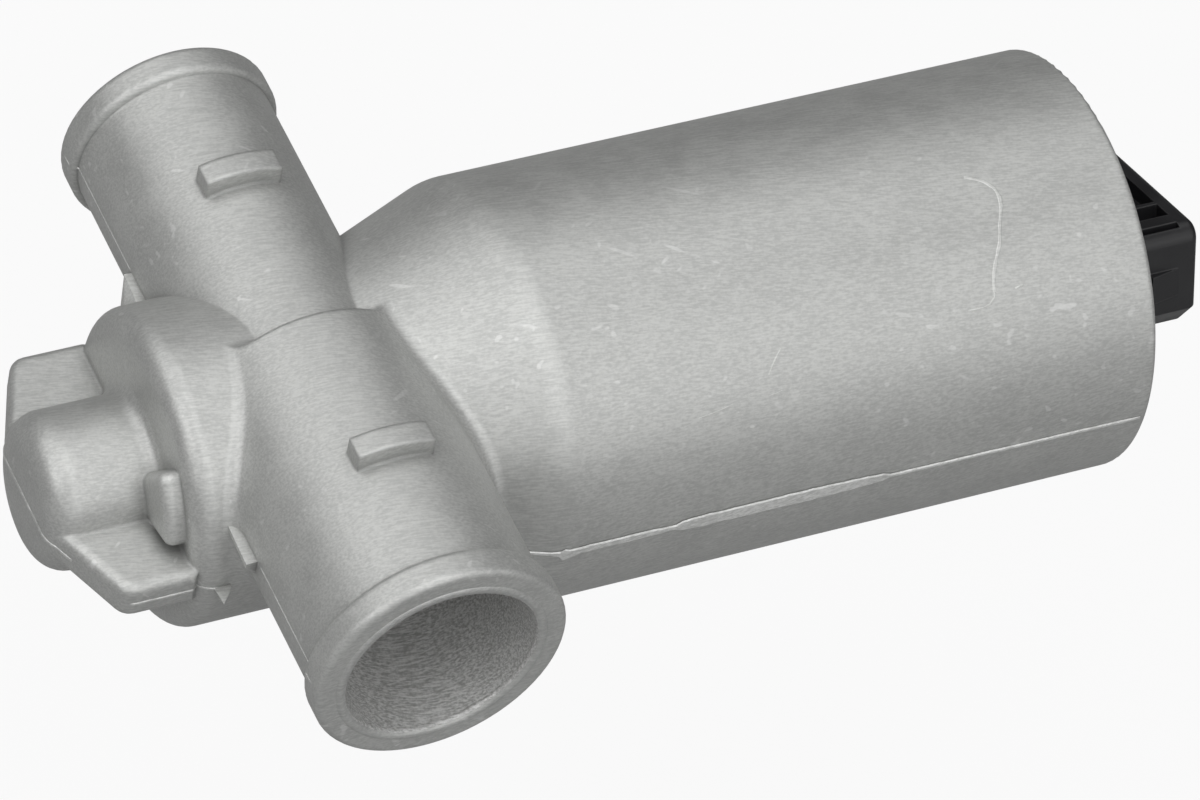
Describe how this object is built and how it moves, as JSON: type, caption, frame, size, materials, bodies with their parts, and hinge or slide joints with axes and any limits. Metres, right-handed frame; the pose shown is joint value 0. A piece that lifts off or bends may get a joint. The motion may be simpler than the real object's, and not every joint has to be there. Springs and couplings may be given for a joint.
{
  "type": "idle air control valve",
  "caption": "Rotary idle air valve: cast housing with two hose spigots, motor barrel and a plug, with the rotor and slider inside.",
  "frame": {"origin": "on the motor axis, in the middle of the barrel that the clamp holds", "axes": "+X along the motor axis towards the plug; Y along the two hose spigots, the large one on -Y; +Z towards the side on which the spigots stand off the motor axis"},
  "size_m": [0.1432, 0.0832, 0.05],
  "materials": {
    "cast_aluminium": "blasted, satin",
    "inner_aluminium": "machined",
    "steel": "ground",
    "core_steel": "laminated, lacquered",
    "ferrite": "matt ceramic",
    "copper": "enamelled copper",
    "carbon": "pressed carbon",
    "inner_plastic": "moulded",
    "black_plastic": "moulded, satin",
    "seal_rubber": "smooth",
    "terminal_metal": "tinned"
  },
  "bodies": {
    "valve_body": {"housing": "cast_aluminium", "partition_plate": "inner_aluminium", "stop_pins": "steel", "front_bearing_outer_race": "steel", "front_bearing_balls": "steel", "rear_bearing_outer_race": "steel", "rear_bearing_balls": "steel", "flux_ring": "steel", "magnet_spring_1": "steel", "magnet_spring_2": "steel", "magnet_upper": "ferrite", "magnet_lower": "ferrite", "brush_carrier": "inner_plastic", "brush_1": "carbon", "brush_2": "carbon", "brush_3": "carbon", "brush_spring_1": "steel", "brush_spring_2": "steel", "brush_spring_3": "steel", "connector_cap": "black_plastic", "cap_seal": "seal_rubber", "terminal_1": "terminal_metal", "terminal_2": "terminal_metal", "terminal_3": "terminal_metal"},
    "rotor": {"shaft": "steel", "rotary_slider": "inner_aluminium", "slider_pin": "steel", "snap_ring": "steel", "front_bearing_inner_race": "steel", "rear_bearing_inner_race": "steel", "armature_core": "core_steel", "insulator_front": "inner_plastic", "insulator_rear": "inner_plastic", "winding_a": "copper", "winding_b": "copper", "commutator_hub": "inner_plastic", "commutator_segment_1": "copper", "commutator_segment_2": "copper", "commutator_segment_3": "copper"}
  },
  "joints": [
    {"name": "slider_turn", "type": "hinge", "parent": "valve_body", "child": "rotor", "pos_m": [0, 0, 0], "axis": [1, 0, 0], "range_deg": [0, 60]}
  ]
}
